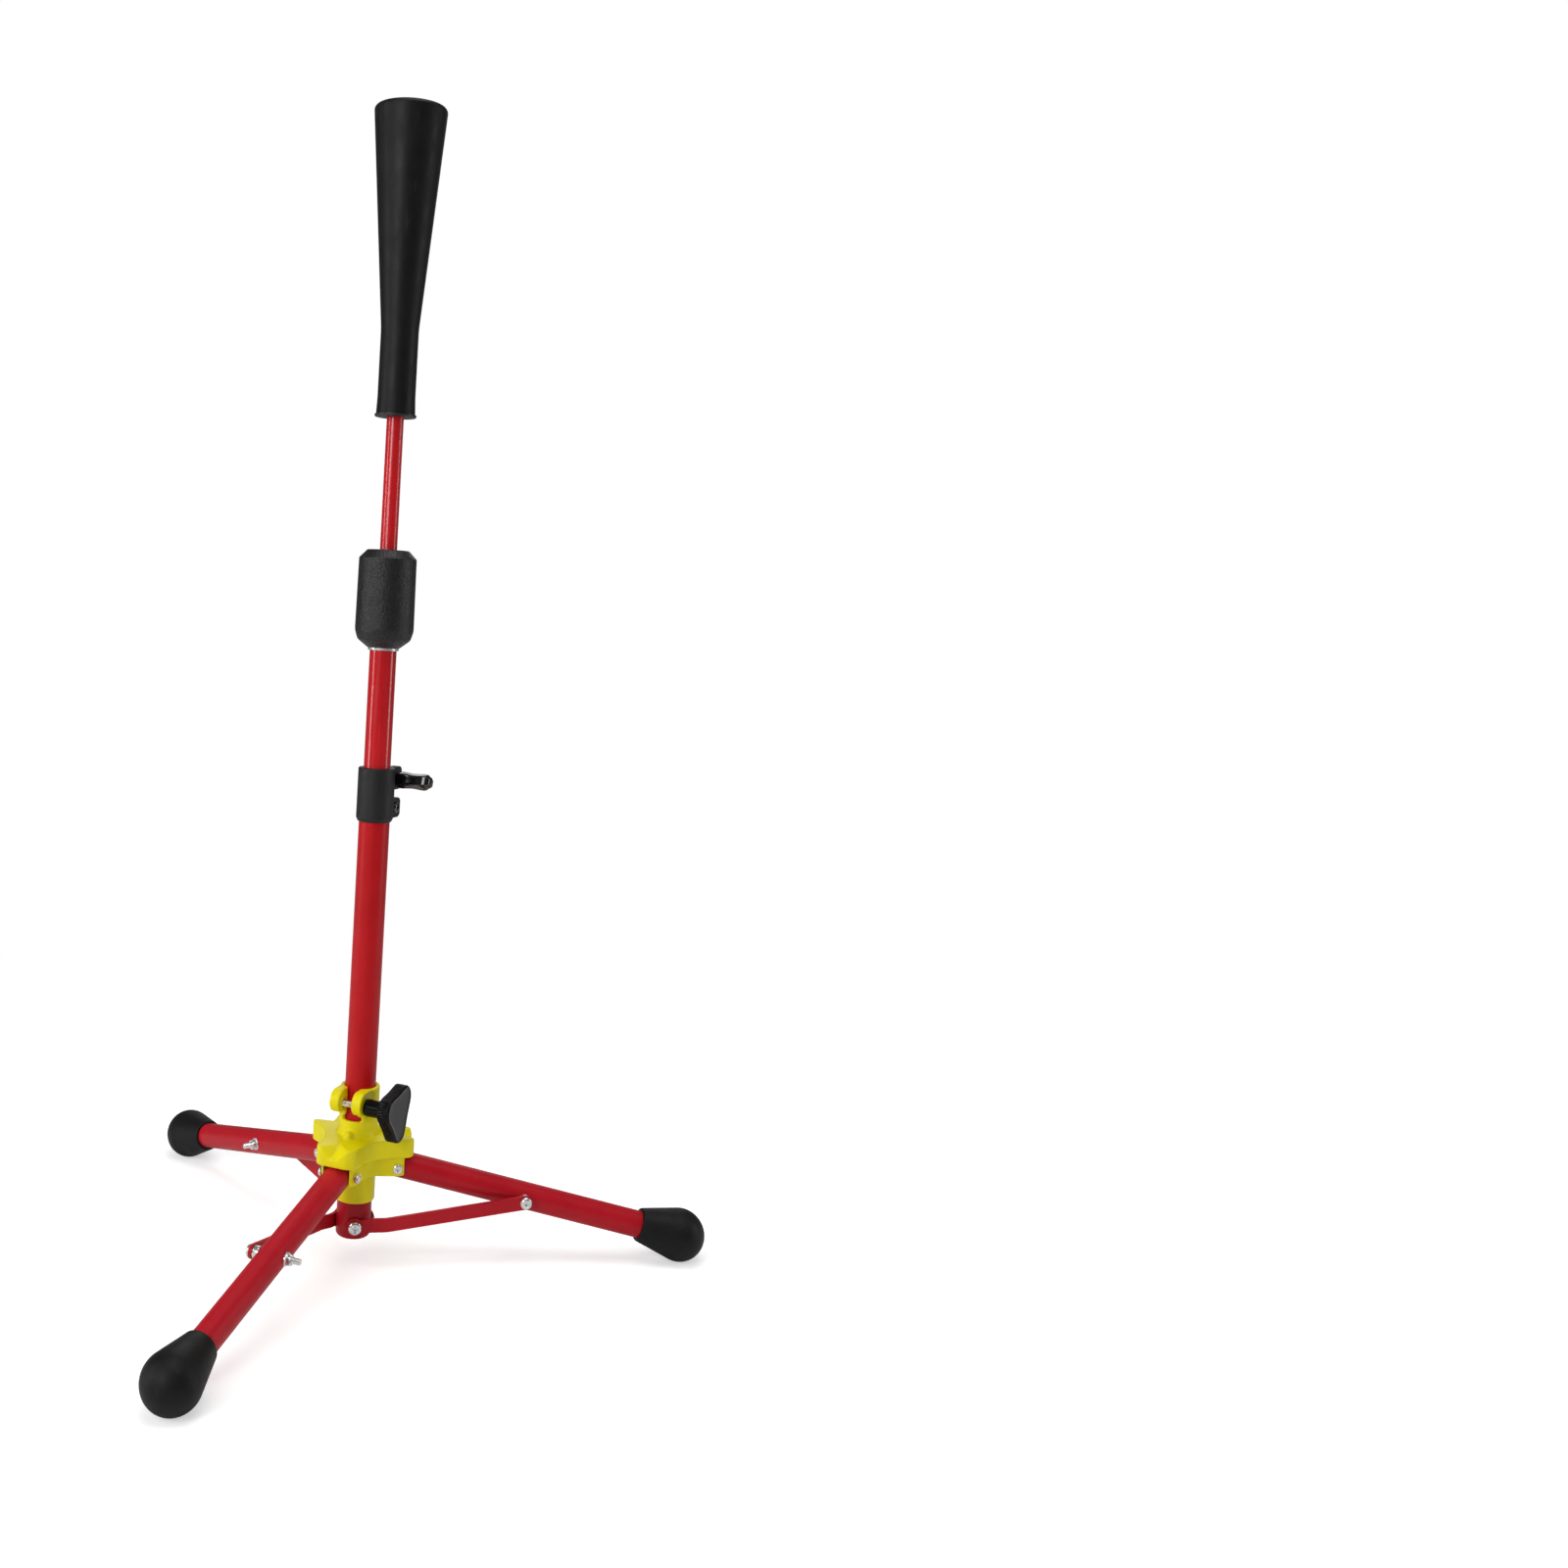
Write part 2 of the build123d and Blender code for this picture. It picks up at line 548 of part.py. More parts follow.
def foot():
    """The rubber foot, flat where it stands on the floor."""
    ball = revolve(Plane.XZ * foot_outline(), Axis.Z)
    mouth_z = LEG_LENGTH - FOOT_MOUTH_DISTANCE
    ball = fillet(ball.edges().group_by(Axis.Z)[0], 1.5)
    ball -= rod(LEG_R, mouth_z - 1, LEG_LENGTH + LEG_TUBE_PAST_BALL)
    return LEG_PLACE * ball - block(0, 2 * FOOT_RADIUS, -50, 50, -50, 0)


def strut_bolt():
    """The bolt through the leg, with its spacer on the strut's side and its nut on the other."""
    strut_face = STRUT_INNER_OFFSET + STRUT_STEP
    spacer_end = strut_face - STRUT_SIDE_GAP
    head_start = strut_face + STRUT_THICKNESS + STRUT_SIDE_GAP
    bolt = rod(BOLT_R, -LEG_R - NUT_HEIGHT - STRUT_BOLT_TAIL, head_start)
    bolt += rod(SPACER_R, LEG_R, spacer_end)
    bolt += Pos(0, 0, head_start) * pan_head(STRUT_BOLT_HEAD_R, HEAD_HEIGHT)
    bolt += Pos(0, 0, -LEG_R - NUT_HEIGHT) * hex_nut(M5_NUT_R, NUT_HEIGHT, BOLT_R)
    return Pos(STRUT_BOLT_RADIUS, 0, STRUT_BOLT_Z) * TOWARDS_MINUS_Y * bolt


def hinge_bolt():
    """The leg's hinge pin, a bolt across the bracket with a nut on the far side."""
    wall = BRACKET_HALF_WIDTH
    bolt = rod(BOLT_R, -wall - NUT_HEIGHT, wall)
    bolt += Pos(0, 0, wall) * pan_head(HINGE_HEAD_R, HEAD_HEIGHT)
    bolt += Pos(0, 0, -wall - HEAD_HEIGHT) * hex_nut(M5_NUT_R, HEAD_HEIGHT, BOLT_R)
    return Pos(HINGE_RADIUS, 0, HINGE_Z) * TOWARDS_MINUS_Y * bolt


def strut_plan():
    """The bar from above: close to the cup, then stepped out to run beside the leg."""
    near = -STRUT_INNER_OFFSET
    far = near - STRUT_STEP
    inner_side = [(-2 * STRUT_EYE_R, near), (STRUT_STEP_START, near), (STRUT_STEP_END, far), (FOOT_RADIUS, far)]
    outer_side = [(x, y - STRUT_THICKNESS) for x, y in reversed(inner_side)]
    return make_face(Polyline(*inner_side, *outer_side, close=True))


def strut():
    """The flat bar from the base to the leg, cranked and stepped near its inner end."""
    kink_x, kink_z = STRUT_KINK
    centre_line = [(0, STRUT_PIVOT_Z), (kink_x, kink_z), (STRUT_BOLT_RADIUS, STRUT_BOLT_Z)]
    outline = Pos(0, STRUT_PIVOT_Z) * Circle(STRUT_EYE_R)
    for start, end in zip(centre_line, centre_line[1:]):
        middle = ((start[0] + end[0]) / 2, (start[1] + end[1]) / 2)
        rise = degrees(atan2(end[1] - start[1], end[0] - start[0]))
        length = hypot(end[0] - start[0], end[1] - start[1])
        outline += Pos(*middle) * Rot(0, 0, rise) * SlotCenterToCenter(length, STRUT_WIDTH)
    outline -= Pos(0, STRUT_PIVOT_Z) * Circle(BOLT_R)
    outline -= Pos(STRUT_BOLT_RADIUS, STRUT_BOLT_Z) * Circle(BOLT_R + RUNNING_FIT)
    side_view = Pos(0, -STRUT_INNER_OFFSET + 1, 0) * extrude(Plane.XZ * outline, 20)
    return side_view & extrude(strut_plan(), HINGE_Z)


def cup_screw():
    """The screw at the strut's inner pivot."""
    strut_face = STRUT_INNER_OFFSET + STRUT_THICKNESS
    screw = rod(BOLT_R, STRUT_INNER_OFFSET, strut_face)
    screw += Pos(0, 0, strut_face) * pan_head(CUP_SCREW_HEAD_R, HEAD_HEIGHT)
    return Pos(0, 0, STRUT_PIVOT_Z) * TOWARDS_MINUS_Y * screw


# Writing the parts

SINGLE_PARTS = [
    lower_tube, lower_tube_bush, middle_tube, middle_guide_bush, friction_bush, grip_sleeve, grip_end_ring,
    upper_tube, upper_tube_stop, cone_bush, ball_cone, collar, collar_clamp_screw, collar_clamp_nut,
    collar_fixing_screw, collar_knob, hub, hub_clamp_screw, hub_clamp_nut, hub_knob, base_cup,
]
LEG_PARTS = [leg_tube, leg_end_plug, foot, strut_bolt, hinge_bolt, strut, cup_screw]


def write(name, shape):
    solid = shape.solids()
    body = solid[0] if len(solid) == 1 else Compound(children=list(solid))
    export_step(body, f"parts/{name}.step")


def main():
    os.makedirs("parts", exist_ok=True)
    for make in SINGLE_PARTS:
        write(make.__name__, make())
    for make in LEG_PARTS:
        shape = make()
        for side, angle in LEG_ANGLES.items():
            write(f"{make.__name__}_{side}", Rot(0, 0, angle) * shape)


main()
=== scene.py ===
import json
import math

import bmesh
import bpy
from mathutils import Matrix, Vector


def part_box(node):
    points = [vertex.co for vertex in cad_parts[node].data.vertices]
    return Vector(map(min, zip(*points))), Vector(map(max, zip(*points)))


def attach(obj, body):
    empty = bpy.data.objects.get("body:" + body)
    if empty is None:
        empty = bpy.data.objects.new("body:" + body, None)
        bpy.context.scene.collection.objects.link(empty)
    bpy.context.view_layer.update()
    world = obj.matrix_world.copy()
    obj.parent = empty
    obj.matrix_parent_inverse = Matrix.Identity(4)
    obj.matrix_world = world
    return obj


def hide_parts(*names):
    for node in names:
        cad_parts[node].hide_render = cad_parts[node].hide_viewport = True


# Looks of an adjustable batting tee, in metres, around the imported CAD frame.
# The row's origin is on the post's axis at the floor, +Z up, +X towards the right leg.

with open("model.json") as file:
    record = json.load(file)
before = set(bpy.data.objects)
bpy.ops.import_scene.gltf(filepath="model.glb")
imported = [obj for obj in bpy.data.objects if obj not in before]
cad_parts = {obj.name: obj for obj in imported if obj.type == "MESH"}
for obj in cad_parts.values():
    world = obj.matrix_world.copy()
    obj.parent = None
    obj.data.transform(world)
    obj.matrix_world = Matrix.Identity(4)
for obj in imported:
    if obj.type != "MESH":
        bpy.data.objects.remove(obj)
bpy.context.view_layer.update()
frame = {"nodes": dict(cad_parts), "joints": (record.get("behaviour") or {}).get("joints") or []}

MM = 0.001
LEG_ANGLES = {"right": 0.0, "rear": 120.0, "front": 240.0}

# Rubber and grip
CONE_RIM_R = 30.0 * MM
CONE_NECK_R = 15.4 * MM
TUBE_FIT_R = 11.02 * MM
FOOT_BALL_DISTANCE = 252.9 * MM
FOOT_BALL_R = 21.8 * MM
FOOT_MOUTH_R = 13.4 * MM
FOOT_MOUTH_DISTANCE = 37 * MM

# Screws and bolts
M5_R = 2.45 * MM
M5_PITCH = 0.8 * MM
M5_NUT_BORE = 2.2 * MM
M6_R = 3 * MM
M6_PITCH = 1.0 * MM

# Hub knob
KNOB_TIP_R = 24.9 * MM
KNOB_LOBE_R = 11 * MM
KNOB_HOLLOW = 0.5 * MM
KNOB_SAMPLES = 72  # points round each lobe; each side has twice as many
KNOB_GROOVES = 72
KNOB_GROOVE_DEPTH = 0.42 * MM
KNOB_TURN = 100
HUB_EAR_FACE = 14.3 * MM
HUB_KNOB_START = HUB_EAR_FACE + 20 * MM

# Collar's thumb knob: its stations are (share of the length, half width, half depth), the halves in mm
THUMB_START = 8.6 * MM
THUMB_LENGTH = 31.4 * MM
THUMB_TURN = 14
THUMB_ROWS = 48
THUMB_STATIONS = [
    (0.0, 5.2, 5.8), (0.04, 5.8, 6.5), (0.13, 6.6, 7.5), (0.48, 5.8, 6.7), (0.80, 6.5, 7.2), (0.87, 6.3, 7.0),
    (1.0, 4.2, 4.6),
]

# Stage
FLOOR_HALF = 12.0
WORLD_LIGHT = 0.12
LIGHT_TARGET = (0, 0, 0.45)
CAMERA_PLACE = (-0.1256, -1.2832, 0.554)
CAMERA_TURN = (87.67, -3.08, -7.5)
CAMERA_LENS = 36.33
CAMERA_SENSOR = 36.0
CAMERA_SHIFT = (0.22, -0.08)

# Places that the frame's joints give
JOINTS = {joint["name"]: joint for joint in frame["joints"]}
HINGE = Vector(JOINTS["leg_right_fold"]["pos_m"])
STRUT_BOLT = Vector(JOINTS["strut_right_fold"]["pos_m"])
LEG_DIRECTION = (STRUT_BOLT - HINGE).normalized()
HUB_SCREW = Vector(JOINTS["hub_knob_turn"]["pos_m"])
HUB_SCREW_AXIS = Vector(JOINTS["hub_knob_turn"]["axis"])
COLLAR_SCREW = Vector(JOINTS["collar_knob_turn"]["pos_m"])
COLLAR_SCREW_AXIS = Vector(JOINTS["collar_knob_turn"]["axis"])


# Mesh building

def piece(name, vertices, faces, look, body, slot, *nodes, sharp=40.0):
    """A smooth-shaded mesh that rides on a body and stands for the CAD nodes named."""
    mesh = bpy.data.meshes.new(name)
    mesh.from_pydata([tuple(v) for v in vertices], [], faces)
    mesh.validate()
    made = bmesh.new()
    made.from_mesh(mesh)
    bmesh.ops.remove_doubles(made, verts=made.verts, dist=1e-7)
    bmesh.ops.recalc_face_normals(made, faces=made.faces)
    made.to_mesh(mesh)
    made.free()
    mesh.shade_smooth()
    mesh.set_sharp_from_angle(angle=math.radians(sharp))
    mesh.materials.append(look)
    built = bpy.data.objects.new(name, mesh)
    bpy.context.scene.collection.objects.link(built)
    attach(built, body)
    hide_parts(*nodes)


def rounded(points, steps):
    """An outline of (a, b, radius) corners, with each corner of radius above 0 turned into an arc."""
    outline = []
    count = len(points)
    for index, (a, b, radius) in enumerate(points):
        corner = Vector((a, b))
        if radius <= 0:
            outline.append(corner)
            continue
        before = Vector(points[index - 1][:2]) - corner
        after = Vector(points[(index + 1) % count][:2]) - corner
        half = before.angle(after) / 2
        reach = radius / math.tan(half)
        start = corner + before.normalized() * reach
        end = corner + after.normalized() * reach
        centre = corner + (before.normalized() + after.normalized()).normalized() * (radius / math.sin(half))
        first = math.atan2(*(start - centre).yx)
        sweep = math.atan2(*(end - centre).yx) - first
        sweep = (sweep + math.pi) % (2 * math.pi) - math.pi
        for step in range(steps + 1):
            angle = first + sweep * step / steps
            outline.append(centre + Vector((math.cos(angle), math.sin(angle))) * radius)
    return outline


def lathe(outline, segments):
    """Vertices and faces of a (radius, height) outline turned about +Z; an end at radius 0 closes it."""
    vertices = []
    rings = []
    for radius, height in outline:
        if radius < 1e-7:
            rings.append([len(vertices)] * segments)
            vertices.append(Vector((0, 0, height)))
            continue
        start = len(vertices)
        rings.append([start + k for k in range(segments)])
        for k in range(segments):
            angle = 2 * math.pi * k / segments
            vertices.append(Vector((radius * math.cos(angle), radius * math.sin(angle), height)))
    return vertices, bridge(rings)


def bridge(rings):
    """Faces between successive rings of vertex numbers; a ring of one repeated number is a point."""
    faces = []
    for lower, upper in zip(rings, rings[1:]):
        count = len(lower)
        for k in range(count):
            corners = [lower[k], lower[(k + 1) % count], upper[(k + 1) % count], upper[k]]
            face = [v for i, v in enumerate(corners) if v != corners[i - 1]]
            if len(face) > 2:
                faces.append(face)
    return faces


def stack(sections, close=True):
    """Vertices and faces of closed sections of equal count; close adds flat fans over both ends."""
    vertices = []
    rings = []
    for section in sections:
        rings.append(list(range(len(vertices), len(vertices) + len(section))))
        vertices += section
    faces = bridge(rings)
    if close:
        for ring in (rings[0], rings[-1]):
            centre = sum((vertices[v] for v in ring), Vector()) / len(ring)
            faces += [[ring[k], ring[(k + 1) % len(ring)], len(vertices)] for k in range(len(ring))]
            vertices.append(centre)
    return vertices, faces


def joined(*meshes):
    """One vertex list and one face list from several."""
    vertices = []
    faces = []
    for some_vertices, some_faces in meshes:
        offset = len(vertices)
        vertices += some_vertices
        faces += [[v + offset for v in face] for face in some_faces]
    return vertices, faces


def placed(mesh, matrix):
    """The same vertices and faces with every vertex moved by a matrix."""
    vertices, faces = mesh
    return [matrix @ Vector(v) for v in vertices], faces


def along(point, direction):
    """The frame at a point whose +Z runs in a direction and whose +Y leans upwards."""
    z = direction.normalized()
    x = Vector((0, 0, 1)).cross(z).normalized()
    y = z.cross(x)
    return Matrix.Translation(point) @ Matrix((x, y, z)).transposed().to_4x4()


def about_post(angle):
    """A turn about the post's axis, in degrees."""
    return Matrix.Rotation(math.radians(angle), 4, "Z")


def soft_copy(node, name, voxel, passes, look, body):
    """A moulded-looking copy of a CAD node: remeshed evenly, with its edges smoothed round."""
    copy = bpy.data.objects.new(name, frame["nodes"][node].data.copy())
    bpy.context.scene.collection.objects.link(copy)
    remesh = copy.modifiers.new("even", "REMESH")
    remesh.mode = "VOXEL"
    remesh.voxel_size = voxel
    smooth = copy.modifiers.new("soften", "SMOOTH")
    smooth.factor = 0.5
    smooth.iterations = passes
    bpy.context.view_layer.update()
    evaluated = copy.evaluated_get(bpy.context.evaluated_depsgraph_get())
    mesh = bpy.data.meshes.new_from_object(evaluated)
    copy.modifiers.clear()
    copy.data = mesh
    mesh.name = name
    mesh.shade_smooth()
    mesh.materials.clear()
    mesh.materials.append(look)
    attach(copy, body)
    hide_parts(node)


# Materials

class Look:
    """A material whose colour, roughness and bump come from nodes in the piece's own coordinates."""

    def __init__(self, name, **sockets):
        self.material = bpy.data.materials.new(name)
        self.material.use_nodes = True
        self.nodes = self.material.node_tree.nodes
        self.links = self.material.node_tree.links
        self.shader = self.nodes["Principled BSDF"]
        self.coordinates = self.nodes.new("ShaderNodeTexCoord").outputs["Object"]
        self.normal = None
        for socket, value in sockets.items():
            self.shader.inputs[socket.replace("_", " ")].default_value = value

    def stretched(self, scale):
        """The piece's own coordinates, scaled on each axis."""
        mapping = self.nodes.new("ShaderNodeMapping")
        mapping.inputs["Scale"].default_value = scale
        self.links.new(self.coordinates, mapping.inputs["Vector"])
        return mapping.outputs["Vector"]

    def noise(self, scale, detail=4.0, rough=0.55, stretch=(1, 1, 1)):
        """Noise between about 0.3 and 0.7, whose cells are 1/scale metres across."""
        texture = self.nodes.new("ShaderNodeTexNoise")
        texture.inputs["Scale"].default_value = scale
        texture.inputs["Detail"].default_value = detail
        texture.inputs["Roughness"].default_value = rough
        self.links.new(self.stretched(stretch), texture.inputs["Vector"])
        return texture.outputs["Fac"]

    def cells(self, scale):
        """Smoothed distance to the nearest of scattered points, about 1/scale metres apart."""
        texture = self.nodes.new("ShaderNodeTexVoronoi")
        texture.feature = "SMOOTH_F1"
        texture.inputs["Scale"].default_value = scale
        self.links.new(self.coordinates, texture.inputs["Vector"])
        return texture.outputs["Distance"]

    def spread(self, value, low, high, to_low=0.0, to_high=1.0):
        """Maps low..high of a value to to_low..to_high, clamped."""
        node = self.nodes.new("ShaderNodeMapRange")
        limits = {"From Min": low, "From Max": high, "To Min": to_low, "To Max": to_high}
        for socket, number in limits.items():
            node.inputs[socket].default_value = number
        self.links.new(value, node.inputs["Value"])
        return node.outputs["Result"]

    def combine(self, operation, first, second):
        """A sum or product of two values, each a socket or a number."""
        node = self.nodes.new("ShaderNodeMath")
        node.operation = operation
        for socket, value in zip(node.inputs, (first, second)):
            if isinstance(value, (int, float)):
                socket.default_value = value
            else:
                self.links.new(value, socket)
        return node.outputs["Value"]

    def colours(self, value, *stops):
        """A colour ramp over (position, colour) stops."""
        ramp = self.nodes.new("ShaderNodeValToRGB")
        elements = ramp.color_ramp.elements
        while len(elements) < len(stops):
            elements.new(0.5)
        for element, (position, colour) in zip(elements, stops):
            element.position = position
            element.color = (*colour, 1.0)
        self.links.new(value, ramp.inputs["Fac"])
        return ramp.outputs["Color"]

    def mixed(self, amount, first, second):
        """Colour first where amount is 0, second where it is 1."""
        mix = self.nodes.new("ShaderNodeMix")
        mix.data_type = "RGBA"
        self.links.new(amount, mix.inputs["Factor"])
        for name, value in (("A", first), ("B", second)):
            socket = [s for s in mix.inputs if s.name == name and s.type == "RGBA"][0]
            if isinstance(value, tuple):
                socket.default_value = (*value, 1.0)
            else:
                self.links.new(value, socket)
        return [s for s in mix.outputs if s.type == "RGBA"][0]

    def colour(self, value):
        self.links.new(value, self.shader.inputs["Base Color"])

    def roughness(self, value):
        self.links.new(value, self.shader.inputs["Roughness"])

    def bump(self, height, depth, strength):
        """Adds relief of a depth in metres to what is there already."""
        node = self.nodes.new("ShaderNodeBump")
        node.inputs["Distance"].default_value = depth
        node.inputs["Strength"].default_value = strength
        self.links.new(height, node.inputs["Height"])
        if self.normal:
            self.links.new(self.normal, node.inputs["Normal"])
        self.normal = node.outputs["Normal"]
        self.links.new(self.normal, self.shader.inputs["Normal"])


def gloss_red():
    """Gloss enamel on the two upper tubes, with slight orange peel and fine sliding marks."""
    look = Look("gloss_red_enamel", Specular_IOR_Level=0.45, Coat_Weight=0.3, Coat_Roughness=0.06)
    tone = look.noise(14, 3)
    look.colour(look.colours(tone, (0.3, (0.50, 0.004, 0.008)), (0.7, (0.60, 0.006, 0.011))))
    marks = look.noise(700, 3, 0.6, (1, 1, 0.02))
    look.roughness(look.spread(marks, 0.45, 0.75, 0.20, 0.42))
    look.bump(look.noise(420, 2), 0.00004, 0.5)
    return look.material


def satin_red(name, dark, bright):
    """Satin powder coat with a fine pebble and faint rub marks."""
    look = Look(name, Specular_IOR_Level=0.20)
    tone = look.noise(22, 4)
    rubbed = look.spread(look.noise(160, 6, 0.7), 0.60, 0.72)
    base = look.colours(tone, (0.3, dark), (0.7, bright))
    look.colour(look.mixed(look.combine("MULTIPLY", rubbed, 0.2), base, (0.60, 0.05, 0.05)))
    look.roughness(look.combine("ADD", look.spread(look.noise(60, 4), 0.3, 0.7, 0.30, 0.42),
                                look.combine("MULTIPLY", rubbed, 0.12)))
    look.bump(look.noise(1500, 2), 0.00005, 0.45)
    look.bump(look.noise(280, 2), 0.00006, 0.35)
    return look.material


def yellow_plastic():
    """Moulded lemon-yellow nylon, slightly translucent, with a fine spark grain."""
    look = Look("yellow_moulded_plastic", Specular_IOR_Level=0.25, Subsurface_Weight=0.06,
                Subsurface_Scale=0.003)
    look.shader.inputs["Subsurface Radius"].default_value = (1.0, 0.8, 0.2)
    flow = look.noise(45, 5, 0.6, (1, 1, 0.5))
    look.colour(look.colours(flow, (0.3, (0.83, 0.725, 0.001)), (0.7, (0.90, 0.790, 0.002))))
    look.roughness(look.spread(look.noise(120, 5), 0.3, 0.7, 0.30, 0.44))
    look.bump(look.noise(2600, 2), 0.00003, 0.5)
    look.bump(look.noise(90, 3), 0.00012, 0.35)
    return look.material


def black_rubber(name, tone, low, high, streaks):
    """Matte moulded rubber: fine grain, grey bloom and soft scuffs; low and high bound its roughness."""
    look = Look(name, Specular_IOR_Level=0.22)
    bloom = look.spread(look.noise(30, 5, 0.6), 0.35, 0.75)
    scuffs = look.spread(look.noise(260, 5, 0.65, streaks), 0.58, 0.76)
    base = look.mixed(bloom, (tone, tone, tone), (tone * 1.7, tone * 1.7, tone * 1.75))
    look.colour(look.mixed(look.combine("MULTIPLY", scuffs, 0.35), base, (0.035, 0.035, 0.037)))
    look.roughness(look.combine("ADD", look.spread(look.noise(75, 5), 0.3, 0.7, low, high),
                                look.combine("MULTIPLY", scuffs, 0.10)))
    look.bump(look.noise(2200, 3), 0.00006, 0.6)
    look.bump(look.noise(120, 3), 0.00015, 0.3)
    return look.material


def grained_grip():
    """Black pebble grain, like moulded leather, with worn shiny tops and painted shade darkening the hollows
    between the pebbles.
    """
    look = Look("grained_black_grip", Specular_IOR_Level=0.45)
    pebbles = look.cells(760)
    fine = look.noise(1900, 3)
    # painted shade: the colour is darker in the hollows between the pebbles, where the bump sinks
    look.colour(look.mixed(look.spread(pebbles, 0.1, 0.6), (0.009, 0.009, 0.010), (0.003, 0.003, 0.003)))
    look.roughness(look.combine("ADD", look.spread(pebbles, 0.05, 0.6, 0.27, 0.52),
                                look.spread(look.noise(60, 4), 0.3, 0.7, -0.05, 0.06)))
    look.bump(look.spread(pebbles, 0.0, 0.7, 1.0, 0.0), 0.0004, 0.75)
    look.bump(fine, 0.00008, 0.4)
    return look.material


def black_plastic(name, tone, low, high, grain, coat=0.0, specular=0.35):
    """Black moulded plastic with spark grain of a chosen depth; low and high bound its roughness."""
    look = Look(name, Specular_IOR_Level=specular, Coat_Weight=coat, Coat_Roughness=0.08)
    cloud = look.noise(55, 4)
    look.colour(look.colours(cloud, (0.3, (tone, tone, tone)), (0.7, (tone * 1.6, tone * 1.6, tone * 1.7))))
    look.roughness(look.spread(look.noise(140, 5), 0.3, 0.7, low, high))
    look.bump(look.noise(1800, 3), grain, 0.6)
    look.bump(look.noise(150, 2), grain * 1.5, 0.3)
    return look.material


def zinc():
    """Bright zinc plate with a faint blue and straw cast and fine handling marks."""
    look = Look("bright_zinc", Metallic=1.0)
    cast = look.noise(240, 3)
    blue, plain, straw = (0.72, 0.75, 0.80), (0.83, 0.84, 0.84), (0.84, 0.81, 0.74)
    look.colour(look.colours(cast, (0.35, blue), (0.5, plain), (0.65, straw)))
    look.roughness(look.spread(look.noise(900, 5, 0.65), 0.3, 0.7, 0.16, 0.34))
    look.bump(look.noise(1400, 3), 0.00004, 0.4)
    return look.material


def dark_steel():
    """Blackened steel with rubbed, slightly brighter specks."""
    look = Look("blackened_steel", Metallic=1.0)
    look.colour(look.colours(look.noise(500, 4), (0.35, (0.05, 0.05, 0.05)), (0.7, (0.22, 0.22, 0.23))))
    look.roughness(look.spread(look.noise(900, 4), 0.3, 0.7, 0.16, 0.34))
    look.bump(look.noise(1400, 3), 0.00004, 0.4)
    return look.material


def silver_ring():
    """Silvery plastic of the ring under the grip."""
    look = Look("silver_ring_plastic", Metallic=0.6)
    look.colour(look.colours(look.noise(300, 3), (0.3, (0.52, 0.53, 0.54)), (0.7, (0.66, 0.67, 0.68))))
    look.roughness(look.spread(look.noise(500, 3), 0.3, 0.7, 0.25, 0.4))
    look.bump(look.noise(1500, 2), 0.00003, 0.4)
    return look.material


def plain_floor():
    """A matt white floor, brightened for the camera alone, that fades to white away from the object."""
    look = Look("pale_floor", Specular_IOR_Level=0.1)
    look.colour(look.colours(look.noise(3, 3), (0.3, (0.88, 0.88, 0.88)), (0.7, (0.90, 0.90, 0.90))))
    look.roughness(look.spread(look.noise(40, 3), 0.3, 0.7, 0.7, 0.8))
    seen = look.nodes.new("ShaderNodeLightPath").outputs["Is Camera Ray"]
    distance = look.nodes.new("ShaderNodeVectorMath")
    distance.operation = "LENGTH"
    look.links.new(look.coordinates, distance.inputs[0])
    far = look.spread(distance.outputs["Value"], 0.45, 1.1)
    glow = look.nodes.new("ShaderNodeEmission")
    lift = look.nodes.new("ShaderNodeEmission")
    look.links.new(look.combine("MULTIPLY", seen, 0.5), lift.inputs["Strength"])
    near = look.nodes.new("ShaderNodeAddShader")
    look.links.new(look.shader.outputs[0], near.inputs[0])
    look.links.new(lift.outputs[0], near.inputs[1])
    mix = look.nodes.new("ShaderNodeMixShader")
    look.links.new(look.combine("MULTIPLY", far, seen), mix.inputs["Fac"])
    look.links.new(near.outputs[0], mix.inputs[1])
    look.links.new(glow.outputs[0], mix.inputs[2])
    look.links.new(mix.outputs[0], look.nodes["Material Output"].inputs["Surface"])
    return look.material


GLOSS_RED = gloss_red()
TUBE_RED = satin_red("satin_red_tube", (0.45, 0.003, 0.006), (0.53, 0.005, 0.009))
LEG_RED = satin_red("satin_red_legs", (0.45, 0.006, 0.015), (0.53, 0.010, 0.021))
CAST_RED = satin_red("satin_red_casting", (0.36, 0.005, 0.012), (0.46, 0.009, 0.018))
YELLOW = yellow_plastic()
CONE_RUBBER = black_rubber("cone_rubber", tone=0.0035, low=0.42, high=0.56, streaks=(1, 1, 0.08))
FOOT_RUBBER = black_rubber("foot_rubber", tone=0.0040, low=0.44, high=0.60, streaks=(1, 1, 1))
GRIP = grained_grip()
COLLAR_BLACK = black_plastic("collar_black_plastic", tone=0.007, low=0.46, high=0.60, grain=0.00007)
KNOB_GLOSS = black_plastic("gloss_black_knob", tone=0.003, low=0.08, high=0.14, grain=0.00001, coat=0.8)
KNOB_SATIN = black_plastic("satin_black_knob", tone=0.003, low=0.12, high=0.20, grain=0.00002, specular=0.14)
BUSH_BLACK = black_plastic("black_nylon_bush", tone=0.014, low=0.36, high=0.50, grain=0.00004)
ZINC = zinc()
SILVER = silver_ring()
DARK_STEEL = dark_steel()


# CAD nodes that keep their shape

